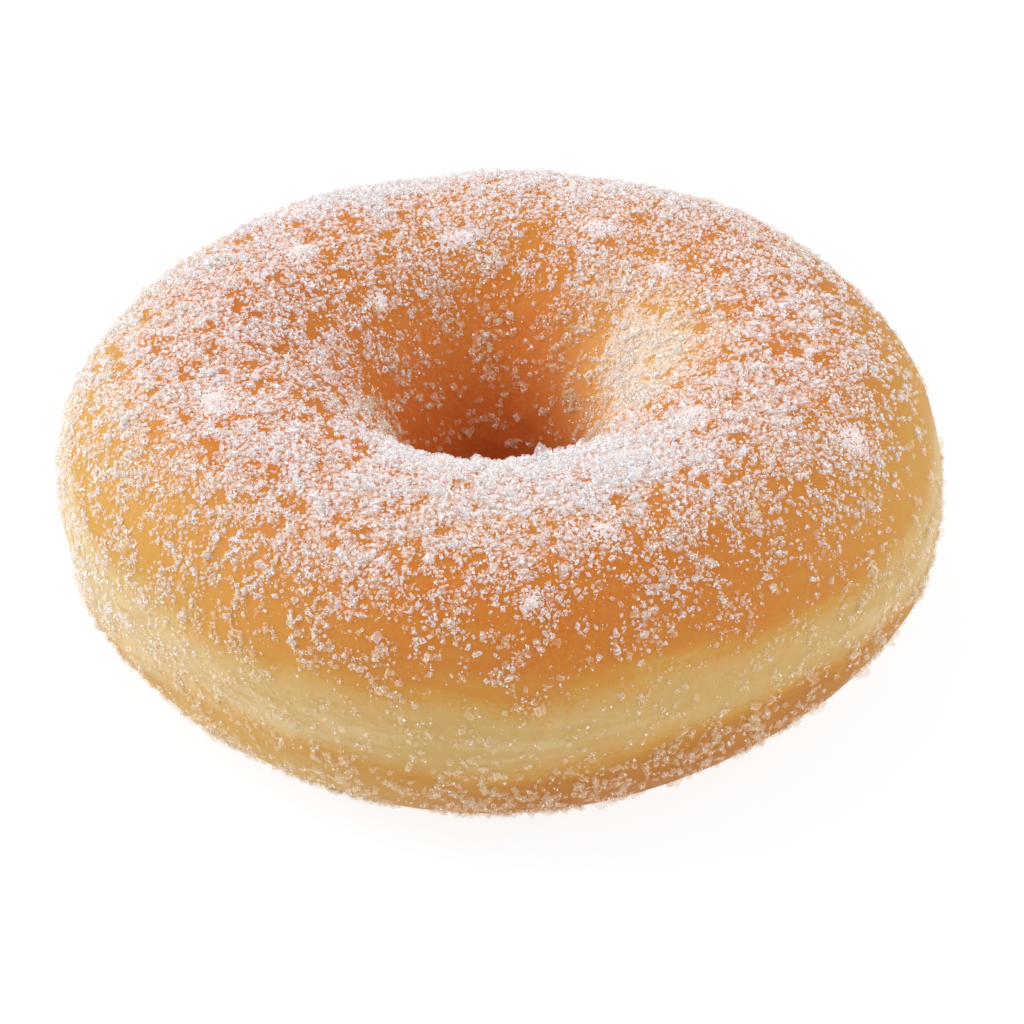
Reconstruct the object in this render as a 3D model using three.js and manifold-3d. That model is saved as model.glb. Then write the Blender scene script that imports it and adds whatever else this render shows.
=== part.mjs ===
// A ring doughnut rolled in sugar: one uneven ring of raised dough, with its largest sugar grains and
// clumps fused on. It stands on its foot, +Z up, with the origin under the middle of the hole.
import * as THREE from "three";
import { ParametricGeometry } from "three/addons/geometries/ParametricGeometry.js";
import { mergeVertices } from "three/addons/utils/BufferGeometryUtils.js";
import Module from "manifold-3d";

// The ring's section, in millimetres: radii from the hole's axis, heights above the table
const WAIST_RADIUS = 44.8;
const WAIST_HEIGHT = 15.4;
const CROWN_RADIUS = 26.5;
const CROWN_HEIGHT = 33;
const THROAT_RADIUS = 7.9;
const THROAT_HEIGHT = 10.8;
const FOOT_INNER = 21;
const FOOT_OUTER = 30.4;

// How full each quarter of the section is: 1 is an ellipse, less is squarer, more is leaner
const SHOULDER_FULL = 0.81;
const LIP_FULL = 1.05;
const UNDERSIDE_FULL = 1;

// How the section swells round the ring: lobes, swing in millimetres, heading of a peak in degrees
const WAIST_SWELL = [[1, 0.45, 180], [2, 0.32, 105], [3, 0.13, -57], [4, 0.64, -26], [5, 0.34, 14]];
const CROWN_SWELL = [[1, 0.3, 90], [2, 0.43, -161]];
const THROAT_SWELL = [[1, 0.33, -138]];
const FOOT_SWELL = [[1, 0.67, -102], [2, 0.19, -46]];

// Slight lumps in the dough: waves round the ring, waves along the section, swing, phase in degrees
const LUMPS = [[3, 2, 0.1, 40], [5, -1, 0.12, 200], [8, 3, 0.08, 310], [11, -2, 0.06, 95]];
const LUMPS_START = 1;
const LUMPS_FULL = 8;

// The shallow groove round the waist, where the two frying sides meet
const GROOVE_HEIGHT = 13.2;
const GROOVE_WIDTH = 1.7;
const GROOVE_DEPTH = 0.4;
const GROOVE_FADE = [CROWN_RADIUS + 8, WAIST_RADIUS - 3];

// Steps of the mesh: round the ring, and along the section's four quarters
const RING_STEPS = 84;
const QUARTER_STEPS = [9, 9, 6, 8];
const SHOULDER = 0;
const LIP = 1;
const THROAT = 2;
const UNDERSIDE = 3;

// Sugar grains: how many, their sizes, and how much of each is pressed into the dough
const GRAIN_COUNT = 165;
const GRAIN_LENGTH = [1.0, 1.6];
const GRAIN_SLIMNESS = 0.75;
const GRAIN_SUNK = 0.3;
const GRAIN_TILT = 35;
const GRAIN_LOWEST = 2.5;

// How thickly the grains lie, by turn along the section: from, to, share of the places taken
const SUGAR_ZONES = [[-58, -12, 0.7], [-12, 16, 0.2], [16, 60, 0.75], [60, 132, 1], [132, 152, 0.4]];

// Steps that spread places evenly in four directions at once: powers of the root of x^5 = x + 1
const EVEN_STEPS = [0.8566749, 0.7338919, 0.6287067, 0.5385973];

// Clumps of caked sugar: azimuth and turn in degrees, width in millimetres
const CLUMPS = [
  [-69, 82, 4.6], [16.5, 70.5, 4.2], [-170.5, 104, 4.8], [128.5, 105, 4.4], [153.5, 97.5, 4], [65, 55, 3.6],
  [-137, 119.5, 4.2], [4, 48, 3.6], [51.5, 97.5, 4.4], [114.5, 78.5, 3.8], [-132, 88.5, 4], [-154, 135.5, 3.4],
];
const CLUMP_SLIMNESS = 0.8;
const CLUMP_RISE = 0.24;

const SUGARED_CRUST = new THREE.MeshStandardMaterial({ color: "#d9ad74", roughness: 0.75, metalness: 0 });

const wasm = await Module();
wasm.setup();
const { degToRad, euclideanModulo, lerp, smoothstep } = THREE.MathUtils;

function signedPower(value, power) {
  return Math.sign(value) * Math.abs(value) ** power;
}

function swell(waves, azimuth) {
  return waves.reduce((sum, [lobes, swing, heading]) => {
    return sum + swing * Math.cos(degToRad(lobes * azimuth - heading));
  }, 0);
}

// One quarter of the section as a superellipse arc: its centre, its reach out and up, and its fullness
function quarterArc(quarter, azimuth) {
  const waist = WAIST_RADIUS + swell(WAIST_SWELL, azimuth);
  const crown = CROWN_HEIGHT + swell(CROWN_SWELL, azimuth);
  const throat = THROAT_RADIUS + swell(THROAT_SWELL, azimuth);
  const foot = FOOT_OUTER + swell(FOOT_SWELL, azimuth);
  if (quarter === SHOULDER)
    return [CROWN_RADIUS, WAIST_HEIGHT, waist - CROWN_RADIUS, crown - WAIST_HEIGHT, SHOULDER_FULL];
  if (quarter === LIP)
    return [CROWN_RADIUS, THROAT_HEIGHT, CROWN_RADIUS - throat, crown - THROAT_HEIGHT, LIP_FULL];
  if (quarter === THROAT)
    return [FOOT_INNER, THROAT_HEIGHT, FOOT_INNER - throat, THROAT_HEIGHT, UNDERSIDE_FULL];
  return [foot, WAIST_HEIGHT, waist - foot, WAIST_HEIGHT, UNDERSIDE_FULL];
}

function lumpRise(turn, azimuth, height) {
  const rise = LUMPS.reduce((sum, [around, along, swing, phase]) => {
    return sum + swing * Math.sin(degToRad(around * azimuth + along * turn + phase));
  }, 0);
  return rise * smoothstep(height, LUMPS_START, LUMPS_FULL);
}

function grooveDepth(radius, height) {
  const nearness = Math.exp(-(((height - GROOVE_HEIGHT) / GROOVE_WIDTH) ** 2));
  return GROOVE_DEPTH * nearness * smoothstep(radius, ...GROOVE_FADE);
}

// A point of the dough. The turn goes round the section: 0 at the waist, 90 at the crown, 180 in the
// throat, 270 at the foot. The azimuth goes round the ring, from 0 at the front, on -Y, towards +X.
function doughPoint(quarter, turn, azimuth) {
  const [centreOut, centreUp, reachOut, reachUp, fullness] = quarterArc(quarter, azimuth);
  const out = Math.cos(degToRad(turn));
  const up = Math.sin(degToRad(turn));
  const arcRadius = centreOut + reachOut * signedPower(out, fullness);
  const arcHeight = centreUp + reachUp * signedPower(up, fullness);
  const lump = lumpRise(turn, azimuth, arcHeight);
  const radius = arcRadius + lump * out - grooveDepth(arcRadius, arcHeight);
  const height = Math.max(arcHeight + lump * up, 0);
  return new THREE.Vector3(
    radius * Math.sin(degToRad(azimuth)), -radius * Math.cos(degToRad(azimuth)), height);
}

// The stations of one closed section. The throat's arc keeps its end, so that a flat foot joins it to
// the start of the underside's arc.
function sectionStations() {
  const stations = [];
  QUARTER_STEPS.forEach((steps, quarter) => {
    const last = quarter === THROAT ? steps : steps - 1;
    for (let step = 0; step <= last; step++)
      stations.push([quarter, 90 * (quarter + step / steps)]);
  });
  stations.push(stations[0]);
  return stations;
}

function solidOf(geometry) {
  const bare = geometry.clone();
  bare.deleteAttribute("normal");
  bare.deleteAttribute("uv");
  const merged = mergeVertices(bare);
  const vertProperties = new Float32Array(merged.attributes.position.array);
  const triVerts = new Uint32Array(merged.index.array);
  return new wasm.Manifold(new wasm.Mesh({ numProp: 3, vertProperties, triVerts }));
}

function geometryOf(solid) {
  const mesh = solid.getMesh();
  const geometry = new THREE.BufferGeometry();
  geometry.setAttribute("position", new THREE.BufferAttribute(mesh.vertProperties, mesh.numProp));
  geometry.setIndex(new THREE.BufferAttribute(mesh.triVerts, 1));
  geometry.computeVertexNormals();
  return geometry;
}

function doughRing() {
  const stations = sectionStations();
  const steps = stations.length - 1;
  const place = (around, along, target) => {
    const [quarter, turn] = stations[Math.round(along * steps)];
    target.copy(doughPoint(quarter, turn, (around % 1) * 360));
  };
  return solidOf(new ParametricGeometry(place, RING_STEPS, steps));
}

// A frame on the dough's surface: where it is, and a turn that takes +Z to the outward direction
function surfaceFrame(turn, azimuth) {
  const wholeTurn = euclideanModulo(turn, 360);
  const quarter = Math.floor(wholeTurn / 90);
  const point = doughPoint(quarter, wholeTurn, azimuth);
  const around = doughPoint(quarter, wholeTurn, azimuth + 0.1).sub(point);
  const along = doughPoint(quarter, wholeTurn + 0.1, azimuth).sub(point);
  const outward = around.cross(along).normalize();
  const upright = new THREE.Quaternion().setFromUnitVectors(new THREE.Vector3(0, 0, 1), outward);
  return { point, outward, upright };
}

function placeOnDough(geometry, frame, spin, tilt, sunk) {
  const twist = new THREE.Quaternion().setFromEuler(new THREE.Euler(degToRad(tilt), 0, degToRad(spin), "ZXY"));
  const centre = frame.point.clone().addScaledVector(frame.outward, -sunk);
  const whole = new THREE.Vector3(1, 1, 1);
  const place = new THREE.Matrix4().compose(centre, frame.upright.clone().multiply(twist), whole);
  return solidOf(geometry.applyMatrix4(place));
}

function sugarShare(turn) {
  const zone = SUGAR_ZONES.find(([from, to]) => turn >= from && turn < to);
  return zone[2];
}

// Grains spread evenly over the sugared zones: a place is skipped where sugar is thin or the ring tight
function sugarGrains() {
  const lowestTurn = SUGAR_ZONES[0][0];
  const highestTurn = SUGAR_ZONES.at(-1)[1];
  const grains = [];
  for (let place = 1; grains.length < GRAIN_COUNT; place++) {
    const [first, second, third, fourth] = EVEN_STEPS.map((step) => (place * step) % 1);
    const turn = lerp(lowestTurn, highestTurn, first);
    const frame = surfaceFrame(turn, 360 * second);
    const tightness = Math.hypot(frame.point.x, frame.point.y) / WAIST_RADIUS;
    if (third > sugarShare(turn) * tightness || frame.point.z < GRAIN_LOWEST) continue;
    const length = lerp(...GRAIN_LENGTH, fourth);
    const width = length * GRAIN_SLIMNESS;
    const height = width * GRAIN_SLIMNESS;
    const box = new THREE.BoxGeometry(length, width, height);
    const sunk = height * (GRAIN_SUNK - 0.5);
    grains.push(placeOnDough(box, frame, 360 * fourth, GRAIN_TILT * (third - 0.5), sunk));
  }
  return grains;
}

function sugarClumps() {
  return CLUMPS.map(([azimuth, turn, width]) => {
    const mound = new THREE.IcosahedronGeometry(width / 2, 1);
    mound.scale(1, CLUMP_SLIMNESS, 2 * CLUMP_RISE);
    return placeOnDough(mound, surfaceFrame(turn, azimuth), azimuth, 0, 0);
  });
}

function sugaredDoughnut() {
  const toppings = [...sugarClumps(), ...sugarGrains()];
  const whole = toppings.reduce((body, topping) => body.add(topping), doughRing());
  const mesh = new THREE.Mesh(geometryOf(whole), SUGARED_CRUST);
  mesh.name = "doughnut";
  return mesh;
}

const part = new THREE.Group();
part.add(sugaredDoughnut());

export default part;
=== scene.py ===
# %% [markdown]
# # A sugar doughnut
# A ring of raised dough, fried on both sides and rolled in granulated sugar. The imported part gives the
# real shape and size, and this lesson gives it its looks: the browned crust with its pale waist band, and
# tens of thousands of sugar grains that are real little crystals and not a texture.
#
# The frame comes first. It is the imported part, in metres, and nothing here moves or resizes it.

import bpy
import numpy as np
from mathutils import Matrix, Vector


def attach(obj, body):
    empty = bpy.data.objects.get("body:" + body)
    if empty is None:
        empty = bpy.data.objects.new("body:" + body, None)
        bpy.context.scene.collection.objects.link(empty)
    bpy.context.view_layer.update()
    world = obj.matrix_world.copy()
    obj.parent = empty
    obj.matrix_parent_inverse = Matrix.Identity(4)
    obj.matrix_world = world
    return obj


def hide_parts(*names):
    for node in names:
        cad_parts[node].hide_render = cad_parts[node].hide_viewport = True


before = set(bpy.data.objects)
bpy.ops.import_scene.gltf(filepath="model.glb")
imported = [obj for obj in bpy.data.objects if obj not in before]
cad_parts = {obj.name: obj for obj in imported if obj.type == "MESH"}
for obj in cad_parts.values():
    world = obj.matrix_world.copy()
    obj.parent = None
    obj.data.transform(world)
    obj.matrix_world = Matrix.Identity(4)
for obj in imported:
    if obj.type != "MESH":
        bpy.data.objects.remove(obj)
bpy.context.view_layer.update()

MM = 0.001

# %% [markdown]
# ## The camera
# The photograph looks down at the ring from the front, with a long lens. A point on the ring's axis, half
# way up, lands a little off the middle of the picture. Turning the camera towards a nearby target puts it
# there, so no lens shift is needed and other views stay centred.

# %% Camera at the photograph's viewing angle
IMAGE_SIDE = 1024
SENSOR = 36.0
FOCAL_PIXELS = 4347.0
CAMERA_DISTANCE = 450.0
CAMERA_ELEVATION = 34.26
CAMERA_ROLL = -1.09
AIM_HEIGHT = 15.0
AIM_PIXEL = np.array([499.7, 486.3])


def photograph_camera():
    """A camera CAMERA_DISTANCE from the aim point, on a line raised by the elevation, rolled about that line,
    and then turned so that the aim point lands on AIM_PIXEL."""
    rise, roll = np.radians([CAMERA_ELEVATION, CAMERA_ROLL])
    back = np.array([0, -np.cos(rise), np.sin(rise)])
    level_right = np.array([1.0, 0, 0])
    level_up = np.cross(back, level_right)
    right = np.cos(roll) * level_right + np.sin(roll) * level_up
    up = np.cos(roll) * level_up - np.sin(roll) * level_right
    aim = np.array([0, 0, AIM_HEIGHT])
    place = aim + CAMERA_DISTANCE * back
    off_centre = (AIM_PIXEL - IMAGE_SIDE / 2) * CAMERA_DISTANCE / FOCAL_PIXELS
    target = aim - off_centre[0] * right + off_centre[1] * up
    look_back = (place - target) / np.linalg.norm(place - target)
    look_right = np.cross(up, look_back)
    look_right = look_right / np.linalg.norm(look_right)
    look_up = np.cross(look_back, look_right)
    turned = Matrix(np.column_stack([look_right, look_up, look_back]).tolist()).to_4x4()
    lens = bpy.data.cameras.new("photograph_lens")
    lens.sensor_width = SENSOR
    lens.lens = SENSOR * FOCAL_PIXELS / IMAGE_SIDE
    camera = bpy.data.objects.new("photograph_camera", lens)
    camera.matrix_world = Matrix.Translation(Vector(place * MM)) @ turned
    bpy.context.scene.collection.objects.link(camera)
    bpy.context.scene.camera = camera
    return camera


camera = photograph_camera()
print("camera, mm:", [round(side / MM) for side in camera.location], "lens", round(camera.data.lens, 1))

# %% [markdown]
# ## The dough as a formula
# A doughnut is a section carried round a ring. The section here has four quarters between its waist,
# crown, throat and foot, and each quarter is part of a superellipse, an ellipse that can be made a little
# squarer or leaner. Slow waves round the ring make it as uneven as risen dough is. Sculpting would work too,
# but a formula gives every grain of sugar its exact place and direction on the crust.

# %% The ring's sizes, in millimetres and degrees
WAIST_RADIUS, WAIST_HEIGHT = 44.8, 15.4
CROWN_RADIUS, CROWN_HEIGHT = 26.5, 33.0
THROAT_RADIUS, THROAT_HEIGHT = 7.9, 10.8
FOOT_INNER, FOOT_OUTER = 21.0, 30.4
SHOULDER_FULL, LIP_FULL, UNDERSIDE_FULL = 0.81, 1.05, 1.0
# lobes round the ring, swing, heading of a peak
WAIST_SWELL = [(1, 0.45, 180), (2, 0.32, 105), (3, 0.13, -57), (4, 0.64, -26), (5, 0.34, 14)]
CROWN_SWELL = [(1, 0.3, 90), (2, 0.43, -161)]
THROAT_SWELL = [(1, 0.33, -138)]
FOOT_SWELL = [(1, 0.67, -102), (2, 0.19, -46)]
# waves round the ring, waves along the section, swing, phase
LUMPS = [(3, 2, 0.1, 40), (5, -1, 0.12, 200), (8, 3, 0.08, 310), (11, -2, 0.06, 95)]
LUMPS_START, LUMPS_FULL = 1.0, 8.0
GROOVE_HEIGHT, GROOVE_WIDTH, GROOVE_DEPTH = 13.2, 1.7, 0.4
GROOVE_START, GROOVE_FULL = CROWN_RADIUS + 8, WAIST_RADIUS - 3
# cell size of the soft dimples in the crust, their swing, seed
DIMPLES = [(7.0, 0.22, 11), (3.0, 0.11, 12), (1.6, 0.05, 13)]
LATTICE_SIZE = 64
NORMAL_STEP = 0.4


def smooth_step(start, end, value):
    """0 before start, 1 after end, and an S-shaped rise between them."""
    share = np.clip((value - start) / (end - start), 0, 1)
    return share * share * (3 - 2 * share)


def lattice_noise(points, cell, seed):
    """Smooth noise from 0 to 1: random numbers on a cubic lattice, blended between the eight corners round
    each point with S-shaped weights."""
    table = np.random.default_rng(seed).random((LATTICE_SIZE, LATTICE_SIZE, LATTICE_SIZE))
    corner = np.floor(points / cell).astype(int)
    part = smooth_step(0, 1, points / cell - corner)
    total = np.zeros(points.shape[:-1])
    for step in np.ndindex(2, 2, 2):
        x, y, z = np.moveaxis((corner + step) % LATTICE_SIZE, -1, 0)
        weight = np.where(step, part, 1 - part).prod(axis=-1)
        total += weight * table[x, y, z]
    return total


def swell(waves, azimuth):
    """The sum of cosine waves round the ring."""
    return sum(swing * np.cos(np.radians(lobes * azimuth - heading)) for lobes, swing, heading in waves)


def signed_power(value, power):
    """A power that keeps the sign, which is what bends an ellipse into a superellipse."""
    return np.sign(value) * np.abs(value) ** power


def bare_section(turn, azimuth):
    """Radius and height of the even section: each quarter is centre + reach * cosine or sine of the turn,
    raised to the quarter's fullness."""
    waist = WAIST_RADIUS + swell(WAIST_SWELL, azimuth)
    crown = CROWN_HEIGHT + swell(CROWN_SWELL, azimuth)
    throat = THROAT_RADIUS + swell(THROAT_SWELL, azimuth)
    foot = FOOT_OUTER + swell(FOOT_SWELL, azimuth)
    quarters = [
        (foot, WAIST_HEIGHT, waist - foot, WAIST_HEIGHT, UNDERSIDE_FULL),
        (CROWN_RADIUS, WAIST_HEIGHT, waist - CROWN_RADIUS, crown - WAIST_HEIGHT, SHOULDER_FULL),
        (CROWN_RADIUS, THROAT_HEIGHT, CROWN_RADIUS - throat, crown - THROAT_HEIGHT, LIP_FULL),
        (FOOT_INNER, THROAT_HEIGHT, FOOT_INNER - throat, THROAT_HEIGHT, UNDERSIDE_FULL),
    ]
    quarter = np.clip(np.floor(turn / 90).astype(int) + 1, 0, 3)
    centre_out, centre_up, reach_out, reach_up, fullness = (
        np.choose(quarter, [np.broadcast_to(values[k], turn.shape) for values in quarters]) for k in range(5))
    radius = centre_out + reach_out * signed_power(np.cos(np.radians(turn)), fullness)
    height = centre_up + reach_up * signed_power(np.sin(np.radians(turn)), fullness)
    return radius, height


def dough_surface(turn, azimuth):
    """Points of the crust. The turn goes round the section in degrees: -90 at the foot's outer edge, 0 at
    the waist, 90 at the crown, 180 in the throat, 270 at the foot's inner edge. The azimuth goes round the
    ring from the front, on -Y, towards +X. On the even section, lumps and dimples push out along the turn,
    and a groove runs round just under the waist."""
    turn, azimuth = np.broadcast_arrays(np.asarray(turn, float), np.asarray(azimuth, float))
    radius, height = bare_section(turn, azimuth)
    out, up = np.cos(np.radians(turn)), np.sin(np.radians(turn))
    sine, cosine = np.sin(np.radians(azimuth)), np.cos(np.radians(azimuth))
    bare = np.stack([radius * sine, -radius * cosine, height], axis=-1)
    rise = sum(swing * np.sin(np.radians(around * azimuth + along * turn + phase))
               for around, along, swing, phase in LUMPS)
    rise += sum(swing * (lattice_noise(bare, cell, seed) - 0.5) * 2 for cell, swing, seed in DIMPLES)
    rise *= smooth_step(LUMPS_START, LUMPS_FULL, height)
    nearness = np.exp(-((height - GROOVE_HEIGHT) / GROOVE_WIDTH) ** 2)
    groove = GROOVE_DEPTH * nearness * smooth_step(GROOVE_START, GROOVE_FULL, radius)
    radius = radius + rise * out - groove
    return np.stack([radius * sine, -radius * cosine, np.maximum(height + rise * up, 0)], axis=-1)


def dough_normals(turn, azimuth):
    """Outward directions: the cross product of small steps round the ring and along the section."""
    around = dough_surface(turn, azimuth + NORMAL_STEP) - dough_surface(turn, azimuth - NORMAL_STEP)
    along = dough_surface(turn + NORMAL_STEP, azimuth) - dough_surface(turn - NORMAL_STEP, azimuth)
    outward = np.cross(around, along)
    return outward / np.linalg.norm(outward, axis=-1, keepdims=True)


print("crown height at the front, mm:", round(float(dough_surface(90, 0)[2]), 2))

# %% [markdown]
# ## A mesh from arrays
# Every piece is made the same way: numpy works out all the points at once, and foreach_set hands them to
# Blender in one go. The object stays at the origin, with its place in its mesh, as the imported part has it.

# %% Mesh helper
def mesh_piece(name, points, faces, finishes, smooth):
    """An object from points in millimetres and faces that all have the same number of corners."""
    mesh = bpy.data.meshes.new(name)
    corners = faces.shape[1]
    mesh.vertices.add(len(points))
    mesh.vertices.foreach_set("co", (points * MM).astype(np.float32).ravel())
    mesh.loops.add(faces.size)
    mesh.loops.foreach_set("vertex_index", faces.astype(np.int32).ravel())
    mesh.polygons.add(len(faces))
    mesh.polygons.foreach_set("loop_start", np.arange(0, faces.size, corners, dtype=np.int32))
    mesh.polygons.foreach_set("use_smooth", np.full(len(faces), smooth))
    mesh.update(calc_edges=True)
    mesh.validate()
    for finish in finishes:
        mesh.materials.append(finish)
    piece = bpy.data.objects.new(name, mesh)
    bpy.context.scene.collection.objects.link(piece)
    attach(piece, "root")
    print(name, "has", len(points), "points and", len(faces) * (corners - 2), "triangles")
    return piece


def point_values(piece, name, kind, values):
    """A named value for each point of a piece, which its material can read."""
    holder = piece.data.attributes.new(name, kind, "POINT")
    key = "value" if kind == "FLOAT" else "vector"
    holder.data.foreach_set(key, np.asarray(values, np.float32).ravel())


# %% [markdown]
# ## Shader maths as Python
# A material is a small program. Writing it as expressions keeps it readable: a Wire stands for one socket,
# and adding or multiplying wires adds the Math nodes that do the same in Blender.

# %% Wires and recipes
def linear(red, green, blue):
    """A colour as a screen shows it, 0 to 255, turned by the standard screen curve into the linear light that
    shaders work in."""
    share = np.array([red, green, blue]) / 255
    light = np.where(share <= 0.04045, share / 12.92, ((share + 0.055) / 1.055) ** 2.4)
    return (*light.tolist(), 1.0)


class Wire:
    """One output socket in a recipe, with the operators that a Math node can do."""

    def __init__(self, recipe, socket):
        self.recipe = recipe
        self.socket = socket

    def math(self, operation, first, second):
        """A Math node on two values or wires."""
        return self.recipe.node("ShaderNodeMath", {"operation": operation}, {0: first, 1: second})

    def __add__(self, other):
        return self.math("ADD", self, other)

    def __sub__(self, other):
        return self.math("SUBTRACT", self, other)

    def __mul__(self, other):
        return self.math("MULTIPLY", self, other)

    __radd__ = __add__


class Recipe:
    """A material under construction: its node tree, and one method that adds any node."""

    def __init__(self, name):
        self.material = bpy.data.materials.new(name)
        self.material.use_nodes = True
        self.tree = self.material.node_tree
        self.tree.nodes.clear()

    def node(self, kind, settings, sockets, output=0):
        """Adds a node: its settings first, then a value or a wire for each named socket."""
        made = self.tree.nodes.new(kind)
        for key, value in settings.items():
            setattr(made, key, value)
        for key, value in sockets.items():
            if isinstance(value, Wire):
                self.tree.links.new(value.socket, made.inputs[key])
            else:
                made.inputs[key].default_value = value
        return Wire(self, made.outputs[output])

    def value_of(self, name):
        """A value that the mesh holds at its points."""
        return self.node("ShaderNodeAttribute", {"attribute_name": name}, {}, output=2)

    def mix(self, share, first, second):
        """A colour between two colours."""
        return self.node("ShaderNodeMix", {"data_type": "RGBA"}, {0: share, 6: first, 7: second}, output=2)

    def noise(self, place, scale, detail, roughness=0.55):
        """Soft noise from about 0 to 1 at a number of waves in a metre."""
        return self.node("ShaderNodeTexNoise", {}, {
            "Vector": place, "Scale": scale, "Detail": detail, "Roughness": roughness})

    def ramp(self, value, start, end):
        """0 to 1 as a value goes from start to end, with soft ends."""
        return self.node("ShaderNodeMapRange", {"interpolation_type": "SMOOTHSTEP"}, {
            "Value": value, "From Min": start, "From Max": end})

    def surface(self, shader):
        """Ends the recipe with a shader and gives the finished material."""
        sink = self.tree.nodes.new("ShaderNodeOutputMaterial")
        self.tree.links.new(shader.socket, sink.inputs["Surface"])
        return self.material


# %% [markdown]
# ## The crust's colour
# Oil browns the two faces of the ring, and the waist, which floats above the oil, stays pale. The browning
# follows the height, so it is worked out at the points with the formula's own numbers, and the shader adds
# what is finer: cloudy patches, faint streaks running round the waist, and the tight grain of the crust. Light
# and shade are painted into the colour too: painted shade on the crown's inner side at the left and, partly,
# on the underside, and painted light on the right wall of the hole.

# %% Where the crust is browned
BAND_TOP, BAND_TOP_SOFT = 20.9, 4.8
BAND_FLOOR, BAND_FLOOR_SOFT = 11.8, 3.8
# lobes round the ring, swing, heading of a peak: how far the band's top and floor move up
TOP_SHIFT = [(1, -0.2, 10)]
FLOOR_SHIFT = [(1, 0.7, 25)]
# heading, half width, centre turn, half width, how far the band's floor moves up
FLOOR_DROPS = [(-65, 48, -20, 60, -3.4), (-12, 34, -16, 40, -1.0), (50, 36, -16, 40, 1.1)]
# heading, half width, centre turn, half width, how far the band's top moves up
TOP_RAISES = [(-100, 56, 20, 80, 5.6), (98, 55, 20, 80, 4.1)]
# how far both edges wander up and down, and the noise that they follow, squashed so that it runs upright
BAND_WANDER, BAND_CELL, BAND_SEED = 0.9, 14.0, 21
BAND_SQUASH = [1, 1, 0.2]
# the wall of the hole is browned all over, from this far outside the crown inwards
INSIDE_SOFT = 6.0
BAND_PALENESS = 0.42
# lobes round the ring, swing, heading of a peak: how much paler the band is there
PALENESS_SWELL = [(1, 0.24, -80), (2, 0.3, 180)]
# turns where the band's paleness has faded out and where it is full
GOLDEN_START, GOLDEN_END = 95.0, 25.0
# heading, half width, centre turn, half width, extra share of gold; the first row is painted light on the
# right wall of the hole, which faces the key light
GOLDEN_AND_LIT_PATCHES = [
    (102, 67, 132, 44, 1.0), (180, 70, 96, 30, 0.15), (15, 60, 84, 30, 0.15), (84, 48, 28, 42, 0.4),
    (0, 60, 45, 30, -0.15), (-90, 70, 88, 34, -0.4), (-36, 45, -28, 38, 0.6), (-32, 36, -52, 26, 0.3),
    (20, 30, -36, 20, -0.15), (45, 40, -36, 30, -0.15), (52, 40, 0, 34, -0.2),
]
# heading, half width, centre turn, half width, extra darkening: painted shade on the crown's inner side at the
# left, which turns away from the key light
PAINTED_SHADE_PATCHES = [(-100, 66, 98, 36, 0.7)]
# turns where the hole's and the underside's colours start and where they are full: the underside's comes in
# under the waist, and again under the throat, where it takes over from the hole's
HOLE_START, HOLE_END = 112.0, 178.0
UNDERSIDE_START, UNDERSIDE_END = 5.0, -15.0
INNER_START, INNER_END = 185.0, 235.0


def degrees_apart(first, second):
    """The smallest angle between two headings."""
    return np.abs((first - second + 180) % 360 - 180)


def patches(rows, turn, azimuth):
    """The sum of soft patches on the crust, each a swing that fades to 0 at a half width round the ring and
    at another along the section."""
    total = np.zeros(np.broadcast(turn, azimuth).shape)
    for heading, half_width, centre, half_turn, swing in rows:
        near = smooth_step(half_width, 0, degrees_apart(azimuth, heading))
        total = total + swing * near * smooth_step(half_turn, 0, np.abs(turn - centre))
    return total


def browning_and_shade(points, turn, heading):
    """1 on the two browned faces, 0 in the pale band, and more than 1 in a patch of painted shade on the
    crown's inner side at the left, where the crust is darkest. Both edges of the band wander up and down."""
    height = points[..., 2]
    radius = np.hypot(points[..., 0], points[..., 1])
    wander = BAND_WANDER * (lattice_noise(points * BAND_SQUASH, BAND_CELL, BAND_SEED) - 0.5) * 2
    over_top = height + wander - BAND_TOP - swell(TOP_SHIFT, heading)
    over_top = over_top - patches(TOP_RAISES, turn, heading)
    over_floor = height + wander - BAND_FLOOR - swell(FLOOR_SHIFT, heading)
    over_floor = over_floor - patches(FLOOR_DROPS, turn, heading)
    above = smooth_step(-BAND_TOP_SOFT, BAND_TOP_SOFT, over_top)
    below = smooth_step(BAND_FLOOR_SOFT, -BAND_FLOOR_SOFT, over_floor)
    inside = smooth_step(CROWN_RADIUS + INSIDE_SOFT, CROWN_RADIUS, radius)
    # painted shade: a patch of shade on the crown's inner side at the left lifts the value past 1
    return np.maximum(np.maximum(above, below), inside) + patches(PAINTED_SHADE_PATCHES, turn, heading)


def paleness_and_light(turn, azimuth):
    """How pale the band and the crust next to it are round the ring, from 0 to 1, fading towards the crown and
    up into the hole, with a few golden patches there, one of them painted light on the right wall of the hole."""
    round_ring = np.clip(BAND_PALENESS + swell(PALENESS_SWELL, azimuth), 0, 1)
    near_band = smooth_step(GOLDEN_START, GOLDEN_END, turn) + smooth_step(INNER_START, INNER_END, turn)
    gold = round_ring * near_band
    return np.clip(gold + patches(GOLDEN_AND_LIT_PATCHES, turn, azimuth), 0, 1)


# %% [markdown]
# ## Where the sugar sticks
# Granulated sugar sticks in islands: inside an island the grains nearly touch, and between islands the crust
# shows. Smooth noise ranks every place on the crust, and a place has sugar where its rank is under the local
# share. That share changes along the section: most on the crown and round the hole, hardly any on the band.
#
# The grains also look different from place to place. Most are white. Low on the ring and deep in the hole,
# where less light reaches, they take up the crust's warm colour, and here they are called glassy: partly
# clearer grains, partly painted shade, dimmer and with less glow. Where the main light shines through them, on
# one wall of the hole and on the shoulder towards the light, some are creamy: a lit copy with more glow,
# painted light.

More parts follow.
